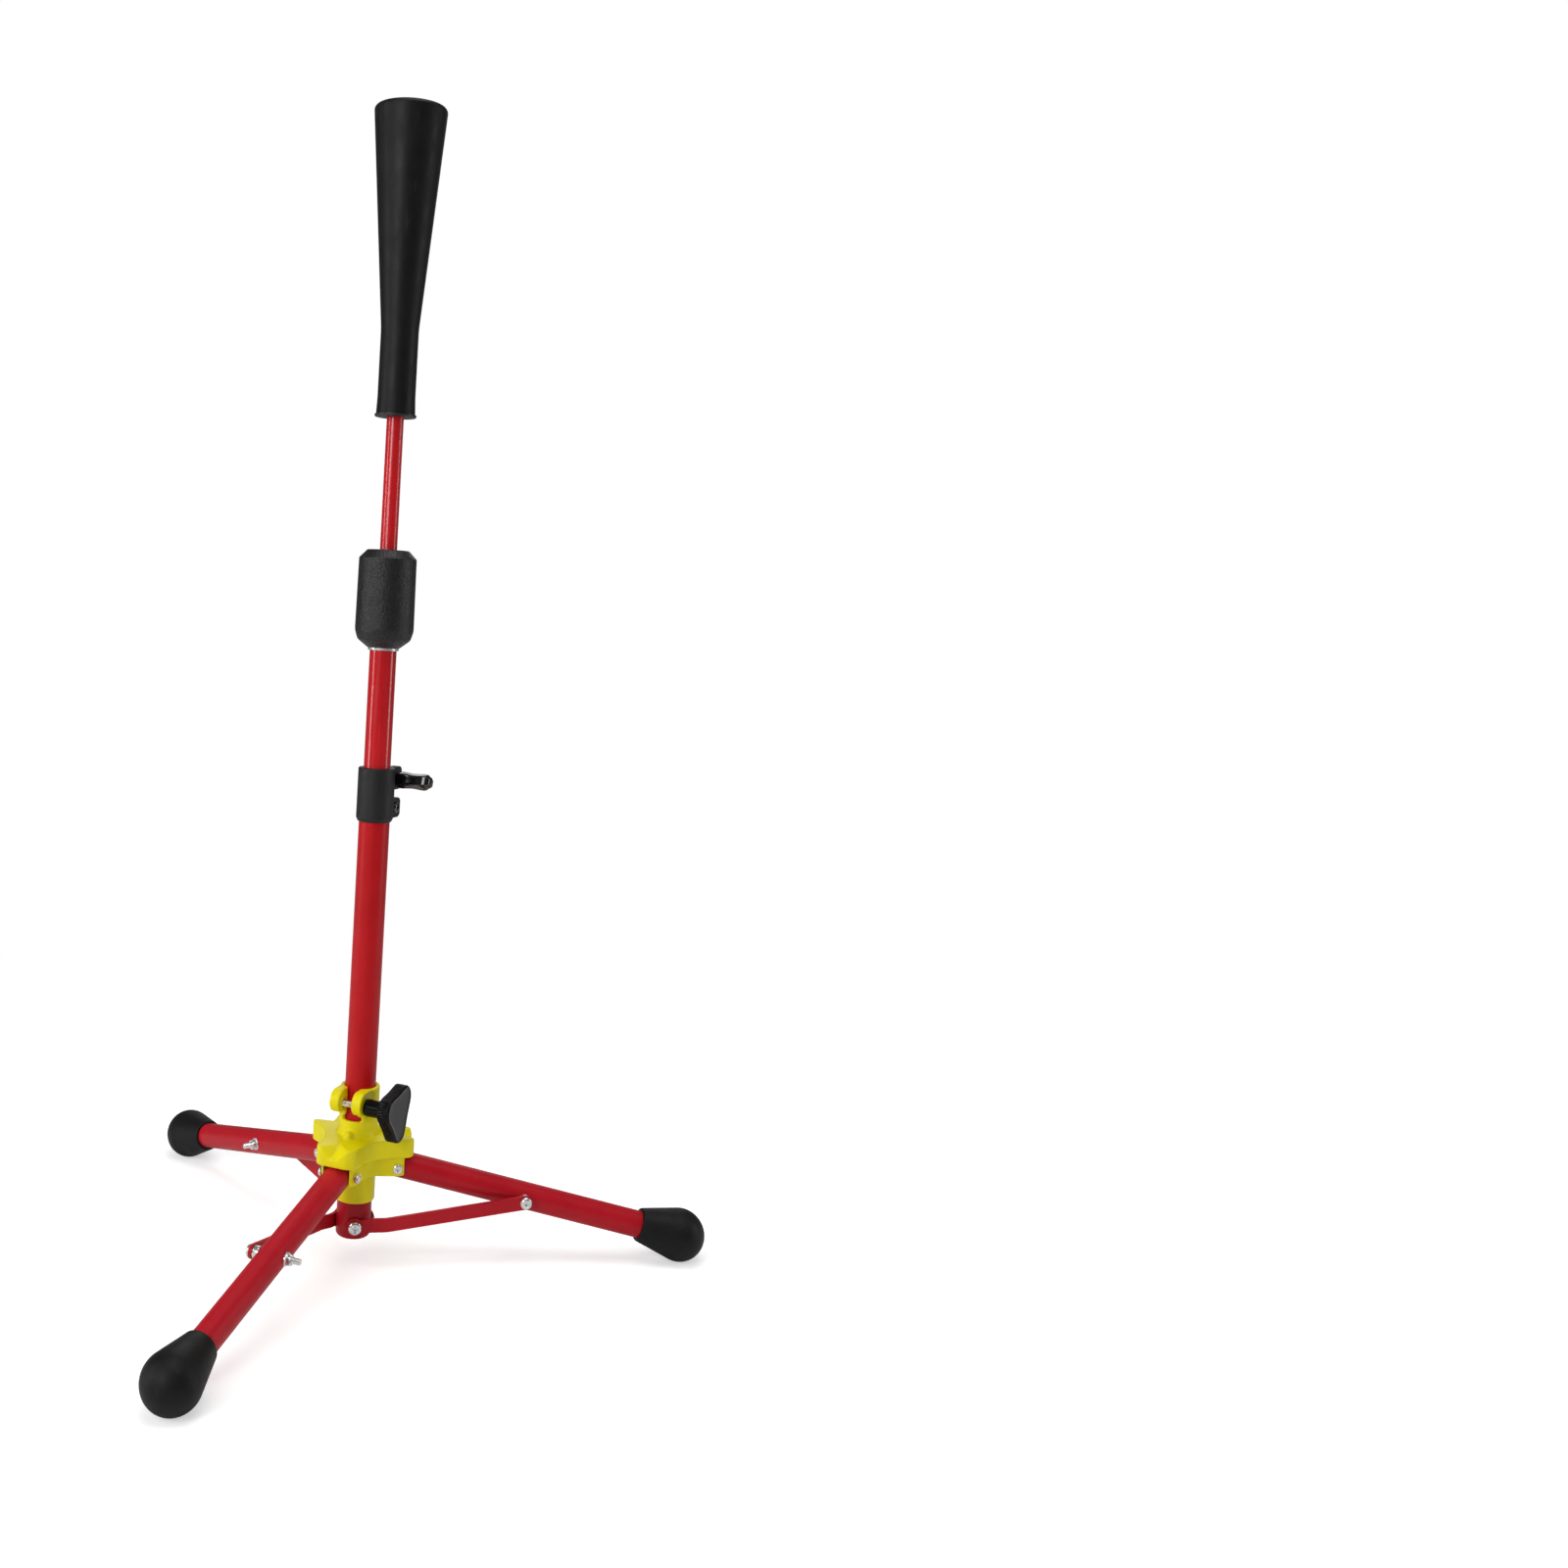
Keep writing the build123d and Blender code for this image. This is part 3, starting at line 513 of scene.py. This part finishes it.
NODE_LOOKS = {
    "lower_tube": TUBE_RED, "middle_tube": GLOSS_RED, "upper_tube": GLOSS_RED, "base_cup": CAST_RED,
    "lower_tube_bush": BUSH_BLACK, "middle_guide_bush": BUSH_BLACK, "friction_bush": BUSH_BLACK,
    "upper_tube_stop": BUSH_BLACK, "cone_bush": BUSH_BLACK, "grip_end_ring": SILVER,
    "collar_clamp_nut": ZINC, "hub_clamp_nut": ZINC, "collar_fixing_screw": DARK_STEEL,
}


def dress_nodes():
    """Gives a look to every CAD node that is shown as it is."""
    for node, look in NODE_LOOKS.items():
        dress(node, look)
    for side in LEG_ANGLES:
        dress(f"leg_tube_{side}", LEG_RED)
        dress(f"leg_end_plug_{side}", BUSH_BLACK)
        dress(f"strut_{side}", LEG_RED)


def dress(node, look):
    """Gives a CAD node one look in place of its own."""
    mesh = frame["nodes"][node].data
    mesh.materials.clear()
    mesh.materials.append(look)


# Rubber and grip

def build_cone():
    """The ball cone: flared skirt, neck, long taper, rolled lip, hollow inside and closed floor."""
    low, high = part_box("ball_cone")
    bottom, top = low.z, high.z
    skirt = CONE_NECK_R + 0.5 * MM
    outline = rounded([
        (0, bottom + 45 * MM, 0), (11 * MM, bottom + 45 * MM, 0), (11 * MM, bottom, 0),
        (skirt, bottom, 0.5 * MM), (skirt, bottom + 2 * MM, 1.5 * MM),
        (CONE_NECK_R, bottom + 14 * MM, 40 * MM), (CONE_NECK_R, bottom + 69 * MM, 120 * MM),
        (CONE_RIM_R, top, 3.8 * MM), (24.6 * MM, top, 1.0 * MM), (9 * MM, bottom + 53 * MM, 5 * MM),
        (0, bottom + 53 * MM, 0),
    ], 12)
    piece("rubber_ball_cone", *lathe(outline, 128), CONE_RUBBER, "upper_stage", "cone_rubber", "ball_cone")


def build_grip():
    """The grip: a barrel with bevelled, softly rounded ends and a shallow socket round the tube."""
    low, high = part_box("grip_sleeve")
    bottom, top = low.z, high.z
    outline = rounded([
        (TUBE_FIT_R, bottom + 4 * MM, 0), (11.6 * MM, bottom, 0.5 * MM), (13.2 * MM, bottom, 1.0 * MM),
        (21.6 * MM, bottom + 6.5 * MM, 5.0 * MM), (24 * MM, bottom + 14 * MM, 16 * MM),
        (23.5 * MM, top - 6.8 * MM, 1.8 * MM), (17 * MM, top, 1.8 * MM), (9.4 * MM, top, 0.8 * MM),
        (8.6 * MM, top - 1.6 * MM, 0.6 * MM), (7.2 * MM, top - 1.6 * MM, 0), (7.2 * MM, top - 5 * MM, 0),
        (TUBE_FIT_R, top - 5 * MM, 0),
    ], 10)
    barrel = lathe(outline + outline[:1], 128)
    piece("grained_grip", *barrel, GRIP, "middle_stage", "grip_foam", "grip_sleeve")


def foot_outline():
    """A ball that runs tangent into a taper, with a soft bead round the mouth, along +Z from the hinge."""
    reach = math.hypot(FOOT_MOUTH_DISTANCE, FOOT_MOUTH_R)
    touch = math.atan2(FOOT_MOUTH_R, -FOOT_MOUTH_DISTANCE) - math.acos(FOOT_BALL_R / reach)
    points = []
    for step in range(41):
        angle = touch * step / 40
        height = FOOT_BALL_DISTANCE + FOOT_BALL_R * math.cos(angle)
        points.append(Vector((FOOT_BALL_R * math.sin(angle), height)))
    end = Vector((FOOT_MOUTH_R, FOOT_BALL_DISTANCE - FOOT_MOUTH_DISTANCE))
    side = end - points[-1]
    points += [points[-1] + side * share for share in (0.25, 0.5, 0.75)]
    inside = end.y + 12 * MM
    bead = rounded([
        (*points[-1], 0), (*end, 1.6 * MM), (TUBE_FIT_R, end.y, 0.7 * MM), (TUBE_FIT_R, inside, 0),
    ], 6)
    return points + bead[1:]


def build_feet():
    """The rubber feet, flattened where they stand on the floor."""
    vertices, faces = placed(lathe(foot_outline(), 96), along(HINGE, LEG_DIRECTION))
    vertices = [Vector((v.x, v.y, max(v.z, 0.0))) for v in vertices]
    for side, angle in LEG_ANGLES.items():
        turned = placed((vertices, faces), about_post(angle))
        piece(f"rubber_foot_{side}", *turned, FOOT_RUBBER, f"leg_{side}", "foot_rubber", f"foot_{side}",
              sharp=50)


# Hardware

def cross_head(radius, height):
    """A pan head on z = 0 with a cross recess pressed into its top."""
    segments = 72
    rings = 26
    outline = rounded([(radius, 0, 0), (radius, height, height * 0.75), (0, height + 0.1 * MM, 0)], 8)
    edge = [p for p in outline if p.x > 0.62 * radius]
    vertices, faces = lathe(edge, segments)
    inner_r, inner_z = edge[-1]
    middle_z = height * 1.04
    arm = 0.56 * radius
    depth = height * 0.55
    top_rings = [list(range(len(vertices) - segments, len(vertices)))]
    for ring in range(1, rings):
        r = inner_r * (1 - ring / rings)
        dome = inner_z + (middle_z - inner_z) * (1 - (r / inner_r) ** 2)
        taper = 1 - 0.5 * r / arm if r < arm else 0.5
        start = len(vertices)
        for k in range(segments):
            angle = 2 * math.pi * k / segments
            x, y = r * math.cos(angle), r * math.sin(angle)
            vertices.append(Vector((x, y, dome - depth * cross_press(x, y, arm, radius) * taper)))
        top_rings.append(list(range(start, start + segments)))
    top_rings.append([len(vertices)] * segments)
    vertices.append(Vector((0, 0, middle_z - depth)))
    faces += bridge(top_rings)
    return vertices, faces + [list(range(segments))]


def cross_press(x, y, arm, radius):
    """1 inside the cross recess of a head, 0 outside it, with a soft edge between."""
    half = 0.13 * radius
    outside = min(max(abs(x) - arm, abs(y) - half), max(abs(y) - arm, abs(x) - half))
    return min(max(0.3 - outside / (0.10 * radius), 0.0), 1.0)


def thread(radius, pitch, low, high):
    """A rod with a V-shaped screw thread between two heights, tapered at its low end."""
    segments = 36
    depth = 0.55 * pitch
    per_turn = 8
    rows = max(2, int((high - low) / pitch * per_turn))
    sections = []
    for row in range(rows + 1):
        z = low + (high - low) * row / rows
        ease = min((z - low) / (0.8 * pitch), 1.0)
        ring = []
        for k in range(segments):
            phase = (z / pitch - k / segments) % 1.0
            crest = 1 - abs(2 * phase - 1)
            r = radius - depth * (1 - crest) - (1 - ease) * depth
            angle = 2 * math.pi * k / segments
            ring.append(Vector((r * math.cos(angle), r * math.sin(angle), z)))
        sections.append(ring)
    return stack(sections)


def nut(corner_r, low, high, bore):
    """A hexagonal nut with chamfered corners and a countersunk bore, between two heights."""
    flat = corner_r * math.cos(math.pi / 6)
    segments = 72
    chamfer = (corner_r - flat) * 0.9
    heights = [(low, 1), (low + chamfer * 0.5, 0), (high - chamfer * 0.5, 0), (high, 1)]
    sections = [ring_at(bore, low + 0.4 * MM, segments), ring_at(bore + 0.4 * MM, low, segments)]
    for z, trimmed in heights:
        ring = []
        for k in range(segments):
            angle = 2 * math.pi * k / segments
            within = (angle + math.pi / 6) % (math.pi / 3) - math.pi / 6
            r = flat / math.cos(within)
            if trimmed:
                r = min(r, flat * 1.01)
            ring.append(Vector((r * math.cos(angle), r * math.sin(angle), z)))
        sections.append(ring)
    sections += [ring_at(bore + 0.4 * MM, high, segments), ring_at(bore, high - 0.4 * MM, segments)]
    vertices, faces = stack(sections, close=False)
    last = len(sections) - 1
    faces += bridge([[last * segments + k for k in range(segments)], list(range(segments))])
    return vertices, faces


def ring_at(radius, z, segments):
    """The points of a level circle round +Z."""
    angles = [2 * math.pi * k / segments for k in range(segments)]
    return [Vector((radius * math.cos(angle), radius * math.sin(angle), z)) for angle in angles]


def washer(outer, low, high):
    """A disc with softened edges between two heights; its bolt fills the bore."""
    outline = rounded([(0, low, 0), (outer, low, 0.25 * MM), (outer, high, 0.25 * MM), (0, high, 0)], 3)
    return lathe(outline, 48)


def shank(radius, low, high):
    """A plain rod between two heights."""
    outline = rounded([(0, low, 0), (radius, low, 0.2 * MM), (radius, high, 0), (0, high, 0)], 3)
    return lathe(outline, 48)


def hinge_bolt():
    """A leg's hinge bolt through its hub bracket; +Z runs out through the head."""
    wall = 15.0 * MM
    head = placed(cross_head(4.25 * MM, 2.6 * MM), Matrix.Translation((0, 0, wall)))
    return joined(head, shank(M5_R, -wall, wall),
                  nut(4.4 * MM, -wall - 2.8 * MM, -wall, M5_NUT_BORE),
                  thread(M5_R, M5_PITCH, -wall - 3.8 * MM, -wall))


def strut_bolt():
    """A strut's bolt through its leg, with spacer, washer and nut; +Z runs out through the head."""
    leg_r = 11 * MM
    strut_inner = 16.3 * MM
    strut_outer = 18.8 * MM
    head = placed(cross_head(5 * MM, 2.7 * MM), Matrix.Translation((0, 0, strut_outer + 0.2 * MM)))
    return joined(head, shank(M5_R, -leg_r, strut_outer + 0.3 * MM),
                  washer(5 * MM, leg_r, strut_inner - 0.2 * MM),
                  washer(5.2 * MM, -leg_r - 0.9 * MM, -leg_r + 0.4 * MM),
                  nut(4.6 * MM, -leg_r - 4.5 * MM, -leg_r - 0.9 * MM, M5_NUT_BORE),
                  thread(M5_R, M5_PITCH, -leg_r - 11.9 * MM, -leg_r - 0.9 * MM))


def cup_screw():
    """The screw of a strut's inner end at the base cup; +Z runs out through the head."""
    strut_inner = 13.3 * MM
    strut_outer = 15.8 * MM
    head = placed(cross_head(5.5 * MM, 2.7 * MM), Matrix.Translation((0, 0, strut_outer)))
    return joined(head, shank(M5_R, strut_inner, strut_outer + 0.1 * MM))


def build_leg_hardware():
    """The hinge bolt, strut bolt and cup screw of each leg."""
    outward = Vector((0, -1, 0))
    low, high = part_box("cup_screw_right")
    cup_point = Vector((0, 0, (low.z + high.z) / 2))
    hinge = hinge_bolt()
    strut = strut_bolt()
    cup = cup_screw()
    for side, angle in LEG_ANGLES.items():
        fixings = [
            ("hinge_bolt", hinge, HINGE, "hub"),
            ("strut_bolt", strut, STRUT_BOLT, f"leg_{side}"),
            ("cup_screw", cup, cup_point, f"strut_{side}"),
        ]
        for kind, mesh, point, body in fixings:
            fixing = placed(mesh, about_post(angle) @ along(point, outward))
            piece(f"{kind}_zinc_{side}", *fixing, ZINC, body, "zinc", f"{kind}_{side}")


# Hub and its knob

def inset(outline, distance):
    """The outline moved inwards along its corner normals; the outline runs anticlockwise."""
    moved = []
    count = len(outline)
    for k, point in enumerate(outline):
        before = (point - outline[k - 1]).normalized()
        after = (outline[(k + 1) % count] - point).normalized()
        tangent = (before + after).normalized()
        moved.append(point + Vector((-tangent.y, tangent.x)) * distance)
    return moved


def build_hub():
    """The moulded hub, with its edges softened."""
    soft_copy("hub", "moulded_hub", voxel=0.65 * MM, passes=14, look=YELLOW, body="hub")


def knob_outline():
    """The knob's three-lobed outline with slightly hollow sides."""
    distance = KNOB_TIP_R - KNOB_LOBE_R
    points = []
    for third in range(3):
        start = 2 * math.pi * third / 3
        centre = Vector((distance * math.cos(start), distance * math.sin(start)))
        for k in range(KNOB_SAMPLES):
            angle = start - math.pi / 3 + 2 * math.pi / 3 * k / KNOB_SAMPLES
            points.append(centre + Vector((math.cos(angle), math.sin(angle))) * KNOB_LOBE_R)
        next_start = start + 2 * math.pi / 3
        next_centre = Vector((distance * math.cos(next_start), distance * math.sin(next_start)))
        facing = Vector((math.cos(start + math.pi / 3), math.sin(start + math.pi / 3)))
        for k in range(2 * KNOB_SAMPLES):
            share = k / (2 * KNOB_SAMPLES)
            sag = KNOB_HOLLOW * math.sin(math.pi * share) ** 2
            points.append(centre.lerp(next_centre, share) + facing * (KNOB_LOBE_R - sag))
    return points


def knob_head():
    """The knob's head: bevelled back, finely grooved sides and a rim round a slightly sunk flat face."""
    outline = knob_outline()
    half_size = [p * 0.5 for p in outline]
    depths = groove_depths(outline, KNOB_GROOVES, KNOB_GROOVE_DEPTH)
    grooved = [p - p.normalized() * depth for p, depth in zip(outline, depths)]
    back = [(3.0, 0.0), (1.2, 0.0), (0.45, 0.3), (0.1, 0.9)]
    rim = [(0.1, 9.2), (0.5, 10.0), (1.1, 10.4), (1.7, 10.5), (2.3, 10.4), (2.8, 10.15), (3.4, 10.1)]
    rings = [(half_size, 0.0)]
    rings += [(inset(outline, inward * MM), height) for inward, height in back]
    rings += [(grooved, height) for height in (1.4, 5.0, 8.7)]
    rings += [(inset(outline, inward * MM), height) for inward, height in rim]
    rings.append((half_size, 10.1))
    sections = []
    for ring, height in rings:
        sections.append([Vector((p.x, p.y, HUB_KNOB_START + height * MM)) for p in ring])
    return placed(stack(sections), Matrix.Rotation(math.radians(KNOB_TURN), 4, "Z"))


def build_hub_knob():
    """The triangular knob on its round stem, and the clamp screw that turns with it."""
    stem = rounded([
        (3.1 * MM, HUB_EAR_FACE, 0), (6.6 * MM, HUB_EAR_FACE, 0.5 * MM),
        (7.0 * MM, HUB_EAR_FACE + 3 * MM, 2 * MM), (6.8 * MM, HUB_KNOB_START - 3 * MM, 6 * MM),
        (8.2 * MM, HUB_KNOB_START + 0.5 * MM, 0),
    ], 6)
    matrix = screw_frame(HUB_SCREW, HUB_SCREW_AXIS)
    knob = placed(joined(knob_head(), lathe(stem, 64)), matrix)
    piece("grooved_hub_knob", *knob, KNOB_SATIN, "hub_knob", "knob_satin", "hub_knob", sharp=35)
    screw = joined(thread(M6_R, M6_PITCH, -17 * MM, 13.8 * MM), shank(2.8 * MM, 13.5 * MM, HUB_KNOB_START))
    piece("hub_screw_thread", *placed(screw, matrix), ZINC, "hub_knob", "zinc", "hub_clamp_screw")


def groove_depths(outline, count, depth):
    """Depths of evenly spaced fine grooves at the points of a closed outline."""
    walked = [0.0]
    for before, after in zip(outline, outline[1:] + outline[:1]):
        walked.append(walked[-1] + (after - before).length)
    return [depth * (0.5 - 0.5 * math.cos(2 * math.pi * count * w / walked[-1])) for w in walked[:-1]]


def screw_frame(point, axis):
    """The frame of a clamp screw: +Z along it, +X away from the post, +Y up (collar) or down (hub)."""
    z = axis.normalized()
    x = Vector((point.x, point.y, 0)).normalized()
    y = z.cross(x)
    return Matrix.Translation(point) @ Matrix((x, y, z)).transposed().to_4x4()


# Collar and its knob

def build_collar():
    """The moulded collar, with its edges softened."""
    soft_copy("collar", "moulded_collar", voxel=0.42 * MM, passes=4, look=COLLAR_BLACK, body="column")


def build_collar_knob():
    """The thumb knob: a blocky waisted six-sided grip with a bevelled end, and its clamp screw."""
    sections = []
    for row in range(THUMB_ROWS + 1):
        share = row / THUMB_ROWS
        wide, deep = half_sizes(share)
        height = THUMB_START + share * THUMB_LENGTH
        sections.append([Vector((x * wide * MM, y * deep * MM, height)) for x, y in hexagon()])
    end = sections[-1]
    centre = sum(end, Vector()) / len(end)
    sections.append([centre.lerp(v, 0.9) + Vector((0, 0, 0.15 * MM)) for v in end])
    matrix = screw_frame(COLLAR_SCREW, COLLAR_SCREW_AXIS)
    knob = placed(stack(sections), matrix @ Matrix.Rotation(math.radians(THUMB_TURN), 4, "Z"))
    piece("thumb_knob", *knob, KNOB_GLOSS, "collar_knob", "knob_gloss", "collar_knob", sharp=28)
    screw = joined(thread(M6_R, M6_PITCH, -14 * MM, -7 * MM), shank(M6_R, -7.2 * MM, 10 * MM))
    piece("collar_screw_thread", *placed(screw, matrix), ZINC, "collar_knob", "zinc", "collar_clamp_screw")


def hexagon():
    """A unit hexagon with softened corners."""
    corners = [(math.cos(math.pi / 3 * k), math.sin(math.pi / 3 * k), 0.14) for k in range(6)]
    return rounded(corners, 4)


def half_sizes(share):
    """The thumb knob's half width and half depth in mm at a share of its length, eased between stations."""
    for (low, *before), (high, *after) in zip(THUMB_STATIONS, THUMB_STATIONS[1:]):
        if share <= high:
            break
    ease = (share - low) / (high - low)
    ease = ease * ease * (3 - 2 * ease)
    return [a + (b - a) * ease for a, b in zip(before, after)]


# Stage

def build_stage():
    """The floor, and a surround that is white to the camera and lights the object weakly."""
    mesh = bpy.data.meshes.new("floor")
    corners = [(-1, -1), (1, -1), (1, 1), (-1, 1)]
    mesh.from_pydata([(x * FLOOR_HALF, y * FLOOR_HALF, 0) for x, y in corners], [], [(0, 1, 2, 3)])
    mesh.materials.append(plain_floor())
    floor = bpy.data.objects.new("floor", mesh)
    bpy.context.scene.collection.objects.link(floor)
    world = bpy.data.worlds.new("soft_studio")
    world.use_nodes = True
    nodes = world.node_tree.nodes
    links = world.node_tree.links
    seen = nodes.new("ShaderNodeLightPath").outputs["Is Camera Ray"]
    strength = nodes.new("ShaderNodeMapRange")
    strength.inputs["To Min"].default_value = WORLD_LIGHT
    strength.inputs["To Max"].default_value = 1.0
    links.new(seen, strength.inputs["Value"])
    nodes["Background"].inputs["Color"].default_value = (1.0, 1.0, 1.0, 1.0)
    links.new(strength.outputs["Result"], nodes["Background"].inputs["Strength"])
    bpy.context.scene.world = world


def area_light(name, place, size, power):
    """A rectangular lamp that faces the middle of the object."""
    data = bpy.data.lights.new(name, "AREA")
    data.shape = "RECTANGLE"
    data.size, data.size_y = size
    data.energy = power
    lamp = bpy.data.objects.new(name, data)
    lamp.location = place
    lamp.rotation_mode = "QUATERNION"
    lamp.rotation_quaternion = (Vector(LIGHT_TARGET) - Vector(place)).to_track_quat("-Z", "Y")
    bpy.context.scene.collection.objects.link(lamp)


def build_lights():
    """A soft key at the front left, a tall strip at each side, a broad box overhead and a weak one behind."""
    area_light("key_box", (-1.3, -1.5, 1.2), (0.8, 1.2), 19)
    area_light("left_strip", (-1.6, -0.1, 0.6), (0.3, 1.6), 9)
    area_light("right_strip", (1.6, -0.25, 0.6), (0.3, 1.6), 6.5)
    area_light("overhead_box", (0.1, -0.3, 2.3), (1.5, 1.5), 20)
    area_light("back_box", (0.4, 1.9, 1.3), (1.2, 1.2), 6)


def build_camera():
    """The camera, with a lens shift that puts the object at the left of the picture."""
    data = bpy.data.cameras.new("camera")
    data.lens = CAMERA_LENS
    data.sensor_width = CAMERA_SENSOR
    data.shift_x, data.shift_y = CAMERA_SHIFT
    camera = bpy.data.objects.new("camera", data)
    camera.location = CAMERA_PLACE
    camera.rotation_euler = [math.radians(angle) for angle in CAMERA_TURN]
    bpy.context.scene.collection.objects.link(camera)
    bpy.context.scene.camera = camera
    bpy.context.scene.view_settings.view_transform = "Standard"


dress_nodes()
build_cone()
build_grip()
build_feet()
build_leg_hardware()
build_hub()
build_hub_knob()
build_collar()
build_collar_knob()
build_stage()
build_lights()
build_camera()
